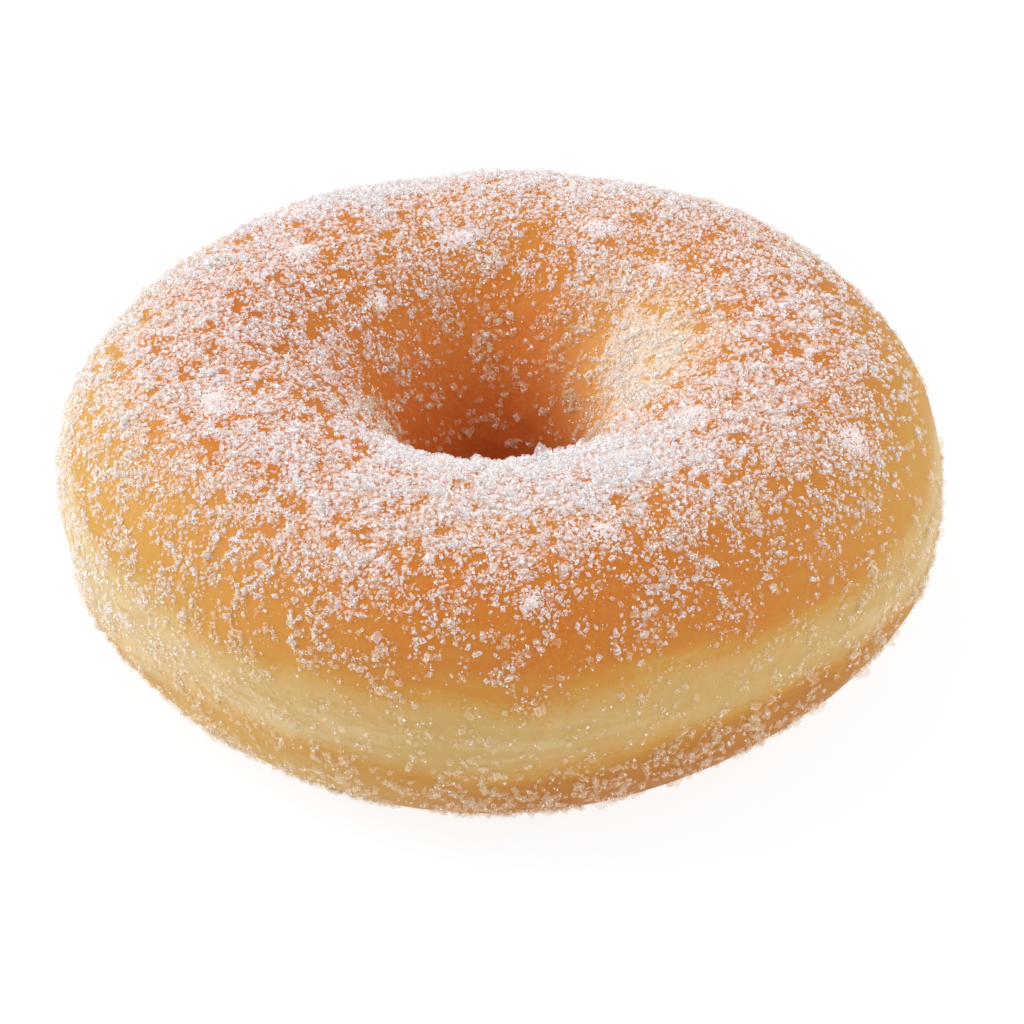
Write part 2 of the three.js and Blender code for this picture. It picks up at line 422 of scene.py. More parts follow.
# %% Shares of sugar
# turn along the section, share of the places taken
SUGAR_TURNS = [-86, -60, -30, -16, -6, 10, 26, 40, 55, 70, 84, 100, 120, 132, 148, 164, 178]
SUGAR_SHARES = [
    0.06, 0.07, 0.08, 0.1, 0.12, 0.19, 0.27, 0.37, 0.54, 0.68, 0.84, 0.95, 0.94, 0.74, 0.44, 0.1, 0.0,
]
SUGAR_LEAST, SUGAR_MOST = 0.01, 0.97
# heading, half width, centre turn, half width, change in the share taken
SUGAR_CHANGES = [
    (-95, 70, 26, 52, 0.46), (-30, 44, 42, 30, 0.22), (-20, 45, 62, 18, 0.14), (10, 45, 92, 20, 0.14),
    (60, 44, 56, 24, 0.15), (84, 36, 28, 30, -0.32), (66, 50, 104, 32, -0.18), (120, 40, 102, 26, -0.2),
    (-65, 50, 0, 24, 0.22), (180, 75, 162, 30, -0.3), (-165, 75, 64, 22, 0.34), (180, 75, 100, 24, -0.22),
    (180, 80, 130, 36, -0.45), (-112, 64, 136, 32, -0.14), (-105, 64, 102, 24, -0.24),
    (-65, 48, 122, 28, -0.35), (-50, 80, 70, 20, 0.1), (84, 46, 78, 24, 0.06), (125, 40, 135, 22, 0.25),
    (90, 44, 140, 26, 0.3), (-92, 40, 152, 22, -0.2), (-92, 40, 8, 24, 0.12), (-85, 30, 128, 18, 0.15),
    (0, 24, 64, 12, 0.1), (35, 26, 96, 14, 0.1), (50, 40, 84, 26, 0.06), (-45, 42, 94, 16, -0.09),
    (60, 26, 64, 14, -0.07), (120, 26, 85, 14, -0.08), (-92, 34, 56, 32, 0.14), (160, 44, 122, 22, 0.12),
]
# turn along the section, share of the places taken by further glassy grains, partly painted shade
SHADED_GLASSY_TURNS = [-86, -60, -44, -28, -14, 0, 12, 30, 62, 78, 112, 128, 142, 160, 178]
SHADED_GLASSY_SHARES = [0.12, 0.22, 0.36, 0.5, 0.36, 0.0, 0.08, 0.17, 0.17, 0.0, 0.0, 0.14, 0.4, 0.38, 0.16]
# heading, half width, centre turn, half width, change in that share
SHADED_GLASSY_CHANGES = [
    (-45, 40, -20, 34, -0.05), (70, 36, -6, 18, 0.32), (62, 44, -36, 26, -0.25), (14, 42, -18, 28, 0.36),
    (160, 90, -2, 18, 0.14), (-110, 60, 150, 36, -0.06), (125, 50, 164, 26, -0.15), (-45, 30, -46, 26, 0.3),
    (-155, 40, 132, 30, 0.25), (32, 26, -44, 18, -0.14), (-28, 22, -46, 18, 0.2),
]
# turn under which grains are glassy, partly as painted shade, its spread, and how it changes in patches
SHADED_GLASSY_TOP, SHADED_GLASSY_BLEND = 27.0, 9.0
SHADED_GLASSY_TOP_CHANGES = [(-85, 55, 0, 120, -55)]
# turn over which grains are glassy, partly as painted shade deep in the hole, and how it changes in patches
SHADED_GLASSY_HOLE = 134.0
SHADED_GLASSY_HOLE_CHANGES = [(95, 60, 130, 90, 16), (178, 64, 125, 70, -13)]
# heading, half width, centre turn, half width, chance that a white grain is creamy: a lit copy, painted light
# where the main light shines through
LIT_CREAMY_PATCHES = [(94, 76, 124, 42, 1.2), (-84, 62, 12, 74, 0.6)]
# azimuth and turn of the caked clumps, their widths round the ring and along the section
CLUMPS = [
    (-69, 82, 4.4, 3.8), (16.5, 70.5, 2.8, 2.2), (-170.5, 104, 4.6, 2.0), (128.5, 105, 3.4, 1.8),
    (153.5, 97.5, 3.8, 2.0), (65, 55, 3.4, 3.4), (-137, 119.5, 1.6, 2.2), (4, 48, 1.8, 1.8),
    (51.5, 97.5, 4.0, 3.0), (-132, 88.5, 3.6, 3.0), (30, 97, 5.0, 3.4),
]
# cell size of the islands, their weight, seed
ISLANDS = [(4.0, 0.2, 31), (1.9, 0.4, 32), (1.0, 0.5, 33)]
# shares between which a second layer grows on the first
HEAP_START, HEAP_FULL = 0.7, 1.1


def sugar_share(turn, azimuth):
    """The share of places taken: the stops along the section, raised or lowered in soft patches."""
    share = np.interp(turn, SUGAR_TURNS, SUGAR_SHARES) + patches(SUGAR_CHANGES, turn, azimuth)
    return np.clip(share, SUGAR_LEAST, SUGAR_MOST)


def shaded_glassy_share(turn, azimuth):
    """The share of places taken by further glassy grains: under the band, on the low dome and in the hole,
    partly as painted shade where less light reaches.
    """
    share = np.interp(turn, SHADED_GLASSY_TURNS, SHADED_GLASSY_SHARES) + patches(SHADED_GLASSY_CHANGES, turn, azimuth)
    return np.clip(share, 0, 1)


def heaped_share(turn, azimuth):
    """The share of places in a second layer, only where the first is thick."""
    return smooth_step(HEAP_START, HEAP_FULL, sugar_share(turn, azimuth))


def island_rank(points, spread, rng):
    """The rank of each point, 0 to 1, in noise of three sizes with some random spread added."""
    patchy = sum(weight * lattice_noise(points, cell, seed) for cell, weight, seed in ISLANDS)
    patchy = patchy + rng.normal(0, spread, patchy.shape)
    return np.argsort(np.argsort(patchy)) / len(patchy)


# %% [markdown]
# ## The dough ring
# The crust is one smooth grid of points. Its colour comes from values at the points: how browned it is, with
# painted shade where it is darkest, how pale or golden, with painted light on the hole's right wall, how deep
# in the hole, how far under the waist, and how much sugar dust lies there. One more gives each point's way
# round the ring and along the section, so that the streaks can be stretched along the waist. Painting them by
# hand would work too, but then nothing would tie the dust to the grains.

# %% Crust finish
PALE_BAND = linear(220, 200, 157)
GOLDEN_BAND = linear(200, 169, 108)
AMBER_EDGE = linear(201, 152, 74)
GOLDEN_CRUST = linear(206, 162, 84)
BROWN_CRUST = linear(196, 113, 42)
# the darkest crust: mostly painted shade on the crown's inner side at the left, and a few darker specks
DARK_CRUST = linear(176, 90, 32)
PALE_UNDERSIDE = linear(206, 170, 103)
# the fried underside, darker than the upper crust partly as painted shade, as little light reaches it from
# below
UNDERSIDE_CRUST_AND_SHADE = linear(174, 104, 29)
HOLE_CRUST = linear(206, 103, 50)
# painted light: the lit gold of the hole's right wall, which faces the key light
LIT_GOLDEN_HOLE = linear(240, 184, 110)
SUGAR_DUST = linear(244, 226, 218)
DUST_STRENGTH = 0.55
# waves in a metre
CLOUD_WAVES, GRAIN_WAVES, STREAK_WAVES, SPECKLE_WAVES = 110.0, 900.0, 600.0, 2400.0
# how strongly clouds, streaks and speckle shift the browning, and speckle and streaks the band's paleness
BROWN_CLOUDS, BROWN_STREAKS, BROWN_SPECKLE = 0.5, 0.8, 0.6
PALE_SPECKLE, PALE_STREAKS = 2.0, 2.6
# from where to where a value takes the crust from one colour to the next
PALE_RANGE, EDGE_RANGE, CRUST_RANGE, DARK_RANGE = (-0.1, 1.1), (0.0, 0.65), (0.3, 1.0), (1.3, 2.0)
SPECKLE_RANGE, DUST_RANGE = (0.4, 0.75), (0.75, 1.0)
BLOTCH_START, BLOTCH_STRENGTH, SPECKLE_STRENGTH = 0.35, 0.5, 0.35
DUST_PUSH = 0.5
CRUST_ROUGHNESS, ROUGHER_CLOUDS = 0.45, 0.2
CRUST_IOR, CRUST_SHINE = 1.45, 0.15
BUMP_DEPTH, BUMP_STRENGTH = 0.08 * MM, 0.25


def fried_colour(recipe, clouds, streaks, speckle):
    """The crust's colour by its point values: the pale band, an amber edge, then browned, with other browns
    under the waist, the darker one partly painted shade, in the hole, with painted light on its right wall,
    and a painted shade patch where it is darkest."""
    toasted_and_shade = recipe.value_of("browning_and_shade") + (clouds - 0.5) * BROWN_CLOUDS + (streaks - 0.5) * BROWN_STREAKS
    toasted_and_shade = toasted_and_shade + (speckle - 0.5) * BROWN_SPECKLE
    pale_and_lit = recipe.value_of("paleness_and_light")
    creamy = pale_and_lit + (speckle - 0.5) * PALE_SPECKLE + (streaks - 0.5) * PALE_STREAKS
    band = recipe.mix(recipe.ramp(creamy, *PALE_RANGE), GOLDEN_BAND, PALE_BAND)
    upper = recipe.mix(pale_and_lit, BROWN_CRUST, GOLDEN_CRUST)
    # under the waist the crust takes its own browns, the darker one partly painted shade
    lower = recipe.mix(pale_and_lit, UNDERSIDE_CRUST_AND_SHADE, PALE_UNDERSIDE)
    browned = recipe.mix(recipe.value_of("underside"), upper, lower)
    edge = recipe.mix(recipe.ramp(toasted_and_shade, *EDGE_RANGE), band, AMBER_EDGE)
    crust = recipe.mix(recipe.ramp(toasted_and_shade, *CRUST_RANGE), edge, browned)
    # painted shade: where the shade patch lifts the value, the crust turns to its darkest colour
    dark = recipe.mix(recipe.ramp(toasted_and_shade, *DARK_RANGE), crust, DARK_CRUST)
    # painted light: in the hole the pale value turns the crust to the lit gold of its right wall
    return recipe.mix(recipe.value_of("hole"), dark, recipe.mix(pale_and_lit, HOLE_CRUST, LIT_GOLDEN_HOLE))


def crust_finish():
    """The fried crust: its colour, mottled and dusted with sugar, and a fine bumpy grain."""
    recipe = Recipe("fried_crust")
    place = recipe.node("ShaderNodeTexCoord", {}, {}, output=3)
    way = recipe.node("ShaderNodeAttribute", {"attribute_name": "ring_way"}, {}, output=1)
    clouds = recipe.noise(place, CLOUD_WAVES, 2.0)
    grain = recipe.noise(place, GRAIN_WAVES, 3.0, 0.6)
    streaks = recipe.noise(way, STREAK_WAVES, 2.0)
    speckle = recipe.noise(place, SPECKLE_WAVES, 2.0, 0.6)
    fried = fried_colour(recipe, clouds, streaks, speckle)
    blotched = recipe.mix((grain - BLOTCH_START) * BLOTCH_STRENGTH, fried, BROWN_CRUST)
    mottled = recipe.mix(recipe.ramp(speckle, *SPECKLE_RANGE) * SPECKLE_STRENGTH, blotched, AMBER_EDGE)
    dusty = recipe.ramp(speckle + recipe.value_of("dust") * DUST_PUSH, *DUST_RANGE) * DUST_STRENGTH
    bumps = recipe.node("ShaderNodeBump", {}, {
        "Strength": BUMP_STRENGTH, "Distance": BUMP_DEPTH, "Height": grain})
    skin = recipe.node("ShaderNodeBsdfPrincipled", {}, {
        "Base Color": recipe.mix(dusty, mottled, SUGAR_DUST),
        "Roughness": CRUST_ROUGHNESS + clouds * ROUGHER_CLOUDS,
        "IOR": CRUST_IOR, "Specular IOR Level": CRUST_SHINE, "Normal": bumps})
    return recipe.surface(skin)


# %% The ring's mesh
RING_STEPS = 480
SECTION_STEPS = 172
FOOT_STEPS = 6
STREAK_STRETCH = 0.15
DUST_EDGE, DUST_POWER, DUST_SEED = 0.15, 1.5, 5


def closed_grid_faces(rows, columns):
    """Quads of a grid whose rows and columns both close on themselves."""
    row, column = np.meshgrid(np.arange(rows), np.arange(columns), indexing="ij")
    next_row, next_column = (row + 1) % rows, (column + 1) % columns
    corners = [row * columns + column, row * columns + next_column,
               next_row * columns + next_column, next_row * columns + column]
    return np.stack(corners, axis=-1).reshape(-1, 4)


def dust_amount(points, turn, azimuth):
    """1 in the islands of sugar, fading to 0 between them."""
    share = sugar_share(turn, azimuth)
    rank = island_rank(points, 0.0, np.random.default_rng(DUST_SEED))
    return share ** DUST_POWER * smooth_step(share + DUST_EDGE, share - DUST_EDGE, rank)


def dough_grid():
    """Points of the crust on a grid of turn and azimuth, closed by a flat foot between its two edges, with
    the turn, the azimuth and the way along the section of each."""
    turn = np.linspace(-90, 270, SECTION_STEPS)[:, None]
    azimuth = np.arange(RING_STEPS) * 360 / RING_STEPS - 180
    crust = dough_surface(turn, azimuth)
    share = (np.arange(1, FOOT_STEPS) / FOOT_STEPS)[:, None, None]
    foot = crust[-1] + (crust[0] - crust[-1]) * share
    points = np.concatenate([crust, foot])
    shape = points.shape[:2]
    turns = np.concatenate([turn[:, 0], np.full(FOOT_STEPS - 1, 270.0)])
    section = np.concatenate([[0], np.cumsum(np.linalg.norm(np.diff(points[:, 0], axis=0), axis=-1))])
    turns = np.broadcast_to(turns[:, None], shape).ravel()
    heading = np.broadcast_to(azimuth, shape).ravel()
    arc = np.broadcast_to(section[:, None], shape).ravel()
    return points.reshape(-1, 3), turns, heading, arc


def dough_ring():
    """The dough as one smooth piece, with the values at its points that colour it."""
    points, turns, heading, arc = dough_grid()
    faces = closed_grid_faces(len(points) // RING_STEPS, RING_STEPS)
    piece = mesh_piece("dough", points, faces, [crust_finish()], True)
    point_values(piece, "browning_and_shade", "FLOAT", browning_and_shade(points, turns, heading))
    point_values(piece, "paleness_and_light", "FLOAT", paleness_and_light(turns, heading))
    inner = smooth_step(INNER_START, INNER_END, turns)
    point_values(piece, "hole", "FLOAT", smooth_step(HOLE_START, HOLE_END, turns) - inner)
    underside = smooth_step(UNDERSIDE_START, UNDERSIDE_END, turns) + inner
    point_values(piece, "underside", "FLOAT", underside)
    point_values(piece, "dust", "FLOAT", dust_amount(points, turns, heading))
    around = np.radians(heading)
    round_ring = np.column_stack([np.sin(around), np.cos(around)]) * STREAK_STRETCH
    way = np.column_stack([round_ring, arc / WAIST_RADIUS])
    point_values(piece, "ring_way", "FLOAT_VECTOR", way * WAIST_RADIUS * MM)
    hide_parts("doughnut")


dough_ring()

# %% [markdown]
# ## Sugar's finish
# A sugar crystal is clear, but its faces are scuffed, so its edges catch the light and its middle lets the
# crust's colour through. True glass would need many bounces of light in every grain, so each face is a white
# veil instead: thin on a clear face, thicker on a misty one and thickest on a bright edge, which is partly
# painted highlight. A little painted glow, light that the sugar gives by itself, stands for the light that
# spreads inside a crystal. Glassy and creamy grains have the same three faces in warmer whites: the glassy
# ones glow less, partly painted shade, and the creamy ones glow more, painted light. None changes over its
# surface, so all their numbers sit on the shader itself.

# %% Sugar finishes
SUGAR_IOR = 1.54
# painted glow: light that the sugar gives by itself, standing for light that spreads inside a crystal
SUGAR_GLOW = 0.14
# partly painted shade: the glassy grains glow less where less light reaches
SHADED_GLASSY_GLOW = 0.07
# painted light: the creamy grains glow more where the main light shines through them
LIT_CREAMY_GLOW = 0.17


def sugar_finish(name, colour, veil, roughness, glow=SUGAR_GLOW):
    """Sugar as a veil of a given thickness, 0 to 1, with the same numbers all over, and a painted glow in its
    own colour.
    """
    recipe = Recipe(name)
    crystal = recipe.node("ShaderNodeBsdfPrincipled", {}, {
        "Base Color": colour, "Roughness": roughness, "IOR": SUGAR_IOR, "Alpha": veil,
        "Emission Color": colour, "Emission Strength": glow})
    return recipe.surface(crystal)


SUGAR_FINISHES = [
    sugar_finish("clear_sugar", linear(232, 230, 232), 0.16, 0.15),
    sugar_finish("misty_sugar", linear(232, 230, 232), 0.28, 0.3),
    # bright faces: partly painted highlight, for edges that catch the light
    sugar_finish("bright_sugar", linear(242, 240, 244), 0.56, 0.2),
]
# partly painted shade: a dimmer, warmer copy of the white sugar with less glow, for grains where less light
# reaches
SHADED_GLASSY_FINISHES = [
    sugar_finish("clear_shaded_glassy", linear(240, 216, 180), 0.12, 0.15, SHADED_GLASSY_GLOW),
    sugar_finish("misty_shaded_glassy", linear(242, 222, 194), 0.18, 0.3, SHADED_GLASSY_GLOW),
    sugar_finish("bright_shaded_glassy", linear(244, 230, 208), 0.38, 0.2, SHADED_GLASSY_GLOW),
]
# painted light: a lit, warmer copy of the white sugar with more glow, where the main light shines through
LIT_CREAMY_FINISHES = [
    sugar_finish("clear_lit_creamy", linear(236, 226, 213), 0.04, 0.15, LIT_CREAMY_GLOW),
    sugar_finish("misty_lit_creamy", linear(236, 226, 213), 0.18, 0.3, LIT_CREAMY_GLOW),
    sugar_finish("bright_lit_creamy", linear(243, 237, 231), 0.6, 0.2, LIT_CREAMY_GLOW),
]
# where each kind of face stands in these lists
CLEAR, MISTY, BRIGHT = 0, 1, 2
# partly painted highlights: nearly opaque white splinters with a painted glow, for glints of light on the
# crystals
GLINT_SUGAR = sugar_finish("glint_sugar", linear(250, 248, 248), 0.75, 0.2)
CAKED_SUGAR = sugar_finish("caked_sugar", linear(247, 238, 235), 0.42, 0.5)
print("sugar finishes:", [finish.name for finish in SUGAR_FINISHES + SHADED_GLASSY_FINISHES + LIT_CREAMY_FINISHES])

# %% [markdown]
# ## Crystals
# Each grain is a prism with three to five uneven sides and a smaller, slanted upper end, where a bevel runs
# round a flat window, its bright facets partly painted highlight. They lie with one end on the crust, some
# leaning over. Splinters, with four corners, stand for crushed sugar, and the bright ones on the grains partly
# for painted highlights. All the crystals of a kind are worked out as one array and become one mesh, because
# tens of thousands of objects would be slow and the export keeps only meshes.

# %% Crystals of sugar
# uneven corners: part of the angle between two, distance from the axis, stretch of the whole outline
CORNER_JITTER, CORNER_REACH, STRETCH = 0.33, (0.4, 0.68), (0.75, 1.25)
# the upper end: its size, its shift and its slant
UPPER_SIZE, UPPER_SHIFT, UPPER_SLANT = (0.66, 0.92), 0.08, 0.5
BEVEL_WIDTH, BEVEL_DROP = 0.5, 0.16
MISTY_ENDS = 0.25
# share of bevel facets that are bright, partly painted highlight
BRIGHT_FACETS = 0.7
TABLE_GAP = 0.03
SPLINTER_REACH = (0.3, 0.6)
SPLINTER_CORNERS = np.array([(1, 1, 1), (1, -1, -1), (-1, 1, -1), (-1, -1, 1)])
SPLINTER_TRIANGLES = np.array([(0, 1, 2), (0, 3, 1), (0, 2, 3), (1, 3, 2)])


def crystal_triangles(sides):
    """Triangles of a prism on three rings of points: the walls first, then the bevel, then a fan on each
    end."""
    here = np.arange(sides)
    after = (here + 1) % sides
    lower_half = np.column_stack([here, after, after + sides])
    upper_half = np.column_stack([here, after + sides, here + sides])
    walls = np.concatenate([lower_half, upper_half])
    fan = np.arange(1, sides - 1)
    bottom = np.column_stack([np.zeros_like(fan), fan + 1, fan])
    top = np.column_stack([np.zeros_like(fan), fan, fan + 1]) + 2 * sides
    return np.concatenate([walls, walls + sides, bottom, top])


def crystal_points(count, sides, flatness, rng):
    """Points of many prisms about one unit across: corners at uneven angles and distances round an axis,
    the same outline again, smaller, shifted and slanted, near the upper end, and a window inside that."""
    jitter = rng.uniform(-CORNER_JITTER, CORNER_JITTER, (count, sides))
    angle = (np.arange(sides) + jitter) * 2 * np.pi / sides
    reach = rng.uniform(*CORNER_REACH, (count, sides))
    outline = np.stack([reach * np.cos(angle), reach * np.sin(angle)], axis=-1)
    outline *= rng.uniform(*STRETCH, (count, 1, 2))
    upper = outline * rng.uniform(*UPPER_SIZE, (count, 1, 1))
    upper = upper + rng.uniform(-UPPER_SHIFT, UPPER_SHIFT, (count, 1, 2))
    slant = (upper * rng.uniform(-UPPER_SLANT, UPPER_SLANT, (count, 1, 2))).sum(axis=-1, keepdims=True)
    low = np.concatenate([outline, np.full((count, sides, 1), -0.5)], axis=-1)
    edge = np.concatenate([upper, 0.5 + slant - BEVEL_DROP], axis=-1)
    high = np.concatenate([upper, 0.5 + slant], axis=-1)
    window = high + (high.mean(axis=1, keepdims=True) - high) * BEVEL_WIDTH
    return np.concatenate([low, edge, window], axis=1) * [1, 1, flatness]


def lying_turns(outward, lean, rng):
    """Rotation matrices that stand a crystal's axis along the outward direction, spun at random about it
    and leant over by a random angle of about that size."""
    upward = outward + rng.normal(size=outward.shape) * np.tan(np.radians(lean))[:, None]
    upward /= np.linalg.norm(upward, axis=1, keepdims=True)
    sideways = np.cross(upward, rng.normal(size=outward.shape))
    sideways /= np.linalg.norm(sideways, axis=1, keepdims=True)
    return np.stack([sideways, np.cross(upward, sideways), upward], axis=-1)


def sugar_piece(name, bodies, triangles, grains, finishes, rng):
    """Many small bodies in one mesh, each turned to the crust, sized, and lifted along the outward
    direction, with none under the table."""
    turn, azimuth, size, lift, lean = grains
    outward = dough_normals(turn, azimuth)
    turned = np.einsum("nij,nkj->nki", lying_turns(outward, lean, rng), bodies * size[:, None, None])
    points = turned + (dough_surface(turn, azimuth) + outward * lift[:, None])[:, None, :]
    points[..., 2] = np.maximum(points[..., 2], TABLE_GAP)
    faces = triangles + (np.arange(len(turn)) * bodies.shape[1])[:, None, None]
    piece = mesh_piece(name, points.reshape(-1, 3), faces.reshape(-1, 3), finishes, False)
    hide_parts("doughnut")
    return piece


def crystal_piece(name, sides, flatness, grains, finishes, rng):
    """Crystals with misty walls, a bevel of bright and misty facets, the bright ones partly painted highlight,
    and ends that are clear or misty.
    """
    count = grains.shape[1]
    triangles = crystal_triangles(sides)
    piece = sugar_piece(name, crystal_points(count, sides, flatness, rng), triangles, grains, finishes, rng)
    finish = np.full((count, len(triangles)), MISTY)
    facets = np.where(rng.random((count, sides)) < BRIGHT_FACETS, BRIGHT, MISTY)
    finish[:, 2 * sides:4 * sides] = np.concatenate([facets, facets], axis=1)
    finish[:, 4 * sides:] = np.where(rng.random(count) < MISTY_ENDS, MISTY, CLEAR)[:, None]
    piece.data.polygons.foreach_set("material_index", finish.astype(np.int32).ravel())


def splinter_piece(name, grains, finish, rng):
    """Splinters: four points at uneven distances from the middle, joined by four triangles."""
    bodies = SPLINTER_CORNERS * rng.uniform(*SPLINTER_REACH, (grains.shape[1], 4, 1))
    sugar_piece(name, bodies, SPLINTER_TRIANGLES, grains, [finish], rng)


# %% [markdown]
# ## Sprinkling
# Places lie in rows round the ring, one in each cell, jittered so that no pattern shows. The main layer lies
# on the crust, a second layer is heaped where sugar is thick, glassy grains lie where it is thin, and the
# caked clumps are heaps of their own. A grain is a column of five numbers: its turn and azimuth, its size,
# its lift off the crust and how far it leans, in degrees.

# %% Places for grains
SECTION_SAMPLES = 1200
PLACE_JITTER = 0.45
RANK_SPREAD = 0.13
# share of the grains that lie nearly flat, and how many times more the others lean
FLAT_GRAINS, LEANING_MORE = 0.6, 3
# lift of a lying grain's middle, as a share of its size
LYING_LIFT = (0.1, 0.3)


def sugar_places(cell, rng):
    """Cells in rows round the ring, each place jittered inside its cell: the rows are evenly spaced along
    the section's length, and a row has as many cells as fit its circumference."""
    turn = np.linspace(SUGAR_TURNS[0], SUGAR_TURNS[-1], SECTION_SAMPLES)
    section = dough_surface(turn, 0.0)
    length = np.concatenate([[0], np.cumsum(np.linalg.norm(np.diff(section, axis=0), axis=1))])
    row_length = np.arange(cell / 2, length[-1], cell)
    row_radius = np.interp(row_length, length, np.hypot(section[:, 0], section[:, 1]))
    counts = np.round(2 * np.pi * row_radius / cell).astype(int)
    row = np.repeat(np.arange(len(counts)), counts)
    column = np.arange(len(row)) - np.repeat(np.cumsum(counts) - counts, counts)
    jitter = rng.uniform(-PLACE_JITTER, PLACE_JITTER, (2, len(row)))
    azimuth = ((column + jitter[0]) / counts[row] + rng.random(len(counts))[row]) * 360
    placed_turn = np.interp(row_length[row] + jitter[1] * cell, length, turn)
    return placed_turn, (azimuth + 180) % 360 - 180


def layer(cell, size, spread, lift, lean, share_at, rng):
    """One layer of grains: turn, azimuth, size, lift and lean of each. share_at gives the share of this
    layer's places that are taken at a turn and azimuth."""
    turn, azimuth = sugar_places(cell, rng)
    rank = island_rank(dough_surface(turn, azimuth), RANK_SPREAD, rng)
    keep = rank < share_at(turn, azimuth)
    turn, azimuth = turn[keep], azimuth[keep]
    sizes = size * np.exp(rng.normal(0, spread, len(turn)))
    leans = np.where(rng.random(len(turn)) < FLAT_GRAINS, lean, LEANING_MORE * lean)
    lifts = sizes * rng.uniform(*LYING_LIFT, len(turn)) + lift
    return np.stack([turn, azimuth, sizes, lifts, leans])


def surface_places(heading, centre, across, along):
    """Turns and azimuths at distances, in millimetres, from a place on the crust."""
    radius = np.hypot(*np.moveaxis(dough_surface(centre, heading), -1, 0)[:2])
    ahead = dough_surface(centre + 1, heading) - dough_surface(centre, heading)
    return centre + along / np.linalg.norm(ahead, axis=-1), heading + np.degrees(across / radius)


# %% Crumbs and the largest grains
CRUMBS_PER_AREA = 48.0
CRUMB_SIZE = (0.16, 0.34)
# a clump's crumbs: spread as a share of its width, height of the heap, how steeply it falls off, lean
CRUMB_SPREAD, CRUMB_RISE, CRUMB_FALL, CRUMB_LEAN = 0.34, 0.09, 12, 50.0
LARGE_COUNT = 120
LARGE_SIZE = (0.65, 0.95)
LARGE_LIFT, LARGE_LEAN = 0.15, 12.0
# turn from and to, share of the places taken
LARGE_ZONES = [(-58, -12, 0.7), (-12, 16, 0.2), (16, 60, 0.75), (60, 132, 1.0), (132, 152, 0.4)]
# a step in each of four directions; many such steps fill a unit box evenly
EVEN_STEPS = np.array([0.8566749, 0.7338919, 0.6287067, 0.5385973])


def clump_crumbs(rng):
    """Crushed sugar caked on each clump's place: thick and heaped in the middle, thin at its ragged edge. The
    heap falls off as a bell does."""
    heaps = []
    for heading, centre, wide, long in CLUMPS:
        count = int(CRUMBS_PER_AREA * wide * long)
        across, along = rng.normal(0, CRUMB_SPREAD, (2, count))
        turn, azimuth = surface_places(heading, centre, across * wide, along * long)
        bell = np.exp(-CRUMB_FALL * (across ** 2 + along ** 2))
        heap = CRUMB_RISE * (wide + long) * bell * rng.random(count)
        sizes = rng.uniform(*CRUMB_SIZE, count)
        heaps.append(np.stack([turn, azimuth, sizes, heap, np.full(count, CRUMB_LEAN)]))
    return np.concatenate(heaps, axis=1)


def large_grains():
    """The largest grains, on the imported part's own places: steps that spread evenly in four directions, with
    a place skipped where sugar is thin, or where the ring is tight."""
    first, second, third, fourth = (np.arange(1, 4 * LARGE_COUNT)[:, None] * EVEN_STEPS % 1).T
    starts, stops, shares = np.array(LARGE_ZONES).T
    turn = starts[0] + (stops[-1] - starts[0]) * first
    azimuth = 360 * second
    tightness = np.hypot(*dough_surface(turn, azimuth).T[:2]) / WAIST_RADIUS
    kept = np.flatnonzero(third <= np.interp(turn, starts, shares) * tightness)[:LARGE_COUNT]
    size = LARGE_SIZE[0] + (LARGE_SIZE[1] - LARGE_SIZE[0]) * fourth[kept]
    return np.stack([turn[kept], azimuth[kept], size, LARGE_LIFT * size, np.full(len(kept), LARGE_LEAN)])


# %% Grains of sugar
# name, corners, flatness, share of the grains
KINDS = [
    ("sugar_wedges", 3, 0.6, 0.14), ("sugar_blocks", 4, 0.75, 0.31),
    ("sugar_slabs", 4, 0.45, 0.31), ("sugar_fives", 5, 0.62, 0.24),
]
SHADED_GLASSY_KINDS = [("shaded_glassy_wedges", 3, 0.6, 0.35), ("shaded_glassy_blocks", 4, 0.6, 0.65)]
LIT_CREAMY_KINDS = [("lit_creamy_wedges", 3, 0.6, 0.2), ("lit_creamy_blocks", 4, 0.6, 0.8)]
# a larger grain is never a wedge
LARGEST_WEDGE = 0.55
# cell, size, spread of the sizes, lift and lean of each layer
LYING_LAYER = (0.46, 0.43, 0.3, 0.0, 13.0)
HEAPED_LAYER = (0.62, 0.5, 0.3, 0.3, 28.0)
SHADED_GLASSY_LAYER = (0.72, 0.64, 0.28, 0.0, 14.0)
GRAIN_SEED = 7
# chance of a splinter on a grain where sugar is thinnest and thickest, and its size where it is thin
GLINT_LEAST, GLINT_MOST, GLINT_THIN = 0.25, 0.85, 0.7
GLINT_SIZE = (0.1, 0.3)
GLINT_REACH = 0.2
GLINT_LIFT = (0.0, 0.35)
DUST_CELL, DUST_SHARE = 0.55, 0.35
DUST_SIZE = (0.1, 0.2)
SPLINTER_LEAN = 60.0


def glints(grains, rng):
    """Fine bright splinters on and beside the grains, each a short way from the middle of one: crushed sugar,
    and partly painted highlights for glints of light on the crystals.
    """
    chance = GLINT_LEAST + (GLINT_MOST - GLINT_LEAST) * sugar_share(grains[0], grains[1])
    turn, azimuth, size, lift = grains[:4, rng.random(grains.shape[1]) < chance]
    count = len(turn)
    across, along = rng.normal(0, GLINT_REACH, (2, count))
    turn, azimuth = surface_places(azimuth, turn, across, along)
    high = lift + size * rng.uniform(*GLINT_LIFT, count)
    sizes = GLINT_SIZE[0] + (GLINT_SIZE[1] - GLINT_SIZE[0]) * rng.random(count) ** 2
    sizes = sizes * (GLINT_THIN + (1 - GLINT_THIN) * sugar_share(turn, azimuth))
    return np.stack([turn, azimuth, sizes, high, np.full(count, SPLINTER_LEAN)])


